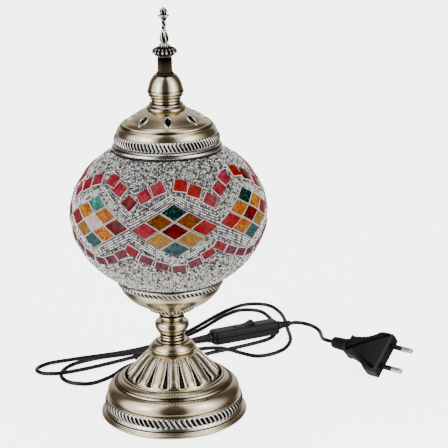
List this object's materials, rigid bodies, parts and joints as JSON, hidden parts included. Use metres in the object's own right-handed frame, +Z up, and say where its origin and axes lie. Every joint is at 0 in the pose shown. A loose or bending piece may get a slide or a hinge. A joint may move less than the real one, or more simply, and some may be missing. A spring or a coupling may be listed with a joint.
{
  "type": "mosaic glass table lamp",
  "caption": "Table lamp with a mosaic-covered glass globe on a turned metal stem, a pierced lift-off cap with a tall finial, and a mains lead with an inline rocker switch.",
  "frame": {"origin": "on the lamp's axis, at the surface that the foot rests on", "axes": "+Z up along the axis to the finial, +Y towards the rear, where the lead leaves the foot, +X to the right seen from the front"},
  "size_m": [0.2937, 0.295, 0.3],
  "materials": {
    "antique_brass": "satin antique brass with a darkened patina",
    "silvered_brass": "silvered, with dark patina in the recesses",
    "bright_brass": "bright stamped brass",
    "steel": "zinc-plated",
    "cast_iron": "raw casting",
    "clear_glass": "clear blown glass",
    "mosaic_glass": "cut glass tiles, seed beads and ball-chain strings glued on",
    "black_plastic": "fine moulded texture",
    "black_rubber": "smooth flexible PVC",
    "white_ceramic": "glazed",
    "felt": "pressed felt",
    "nickel_pins": "nickel-plated brass, insulated for half their length"
  },
  "bodies": {
    "root": {"felt_pad": "felt", "base_cover_plate": "steel", "foot_rim": "antique_brass", "foot_gadroon_band": "silvered_brass", "base_torus": "antique_brass", "fluted_dome": "antique_brass", "base_weight": "cast_iron", "base_washer": "steel", "base_nut": "steel", "threaded_rod": "steel", "lower_cup": "antique_brass", "lower_neck_ring": "antique_brass", "stem_knob": "antique_brass", "upper_neck_ring": "antique_brass", "upper_cup": "antique_brass", "gallery_leaf_ring": "silvered_brass", "gallery_bowl": "antique_brass", "gallery_rope_rim": "silvered_brass", "gallery_washer": "steel", "gallery_nut": "steel", "lampholder_cap": "black_plastic", "lampholder_body": "black_plastic", "lampholder_insulator": "white_ceramic", "lampholder_thread_sleeve": "bright_brass", "lampholder_contact": "bright_brass", "globe_mosaic": "mosaic_glass", "globe_glass": "clear_glass", "globe_top_collar": "silvered_brass", "base_strain_relief": "black_rubber", "cord_lamp_to_switch": "black_rubber", "cord_twist_tie": "black_rubber", "switch_lower_shell": "black_plastic", "switch_upper_shell": "black_plastic", "switch_rocker_pin": "steel", "switch_screw_1": "steel", "switch_screw_2": "steel", "switch_contact": "bright_brass", "switch_relief_lamp_side": "black_rubber", "switch_relief_plug_side": "black_rubber", "cord_switch_to_plug": "black_rubber", "plug_strain_relief": "black_rubber", "plug_body": "black_plastic", "plug_pin_1": "nickel_pins", "plug_pin_2": "nickel_pins"},
    "cap": {"cap_dome": "antique_brass", "cap_rope_rim": "silvered_brass", "cap_locating_skirt": "antique_brass", "cap_neck": "antique_brass", "finial_stud": "steel", "finial_nut": "steel", "finial_bell": "antique_brass", "finial_column": "antique_brass", "finial_disc": "silvered_brass", "finial_vase": "antique_brass", "finial_spire": "antique_brass"},
    "bulb_carriage": {"bulb_contact": "silvered_brass"},
    "bulb": {"bulb_screw_cap": "silvered_brass", "bulb_glass": "clear_glass", "bulb_stem": "clear_glass"},
    "rocker": {"switch_rocker": "black_plastic"}
  },
  "joints": [
    {"name": "cap_lift", "type": "slide", "parent": "root", "child": "cap", "axis": [0, 0, 1], "range_m": [0, 0.06]},
    {"name": "bulb_rise", "type": "slide", "parent": "root", "child": "bulb_carriage", "axis": [0, 0, 1], "range_m": [0, 0.01]},
    {"name": "bulb_turn", "type": "hinge", "parent": "bulb_carriage", "child": "bulb", "pos_m": [0, 0, 0.12], "axis": [0, 0, 1], "range_deg": [0, 1260]},
    {"name": "rocker_tilt", "type": "hinge", "parent": "root", "child": "rocker", "pos_m": [0.05938, 0.13593, 0.01208], "axis": [-0.385, 0.9203, -0.0698], "range_deg": [0, 20]}
  ],
  "couplings": [
    {"joint": "bulb_rise", "follows": "bulb_turn", "m_per_rad": 0.000449}
  ]
}
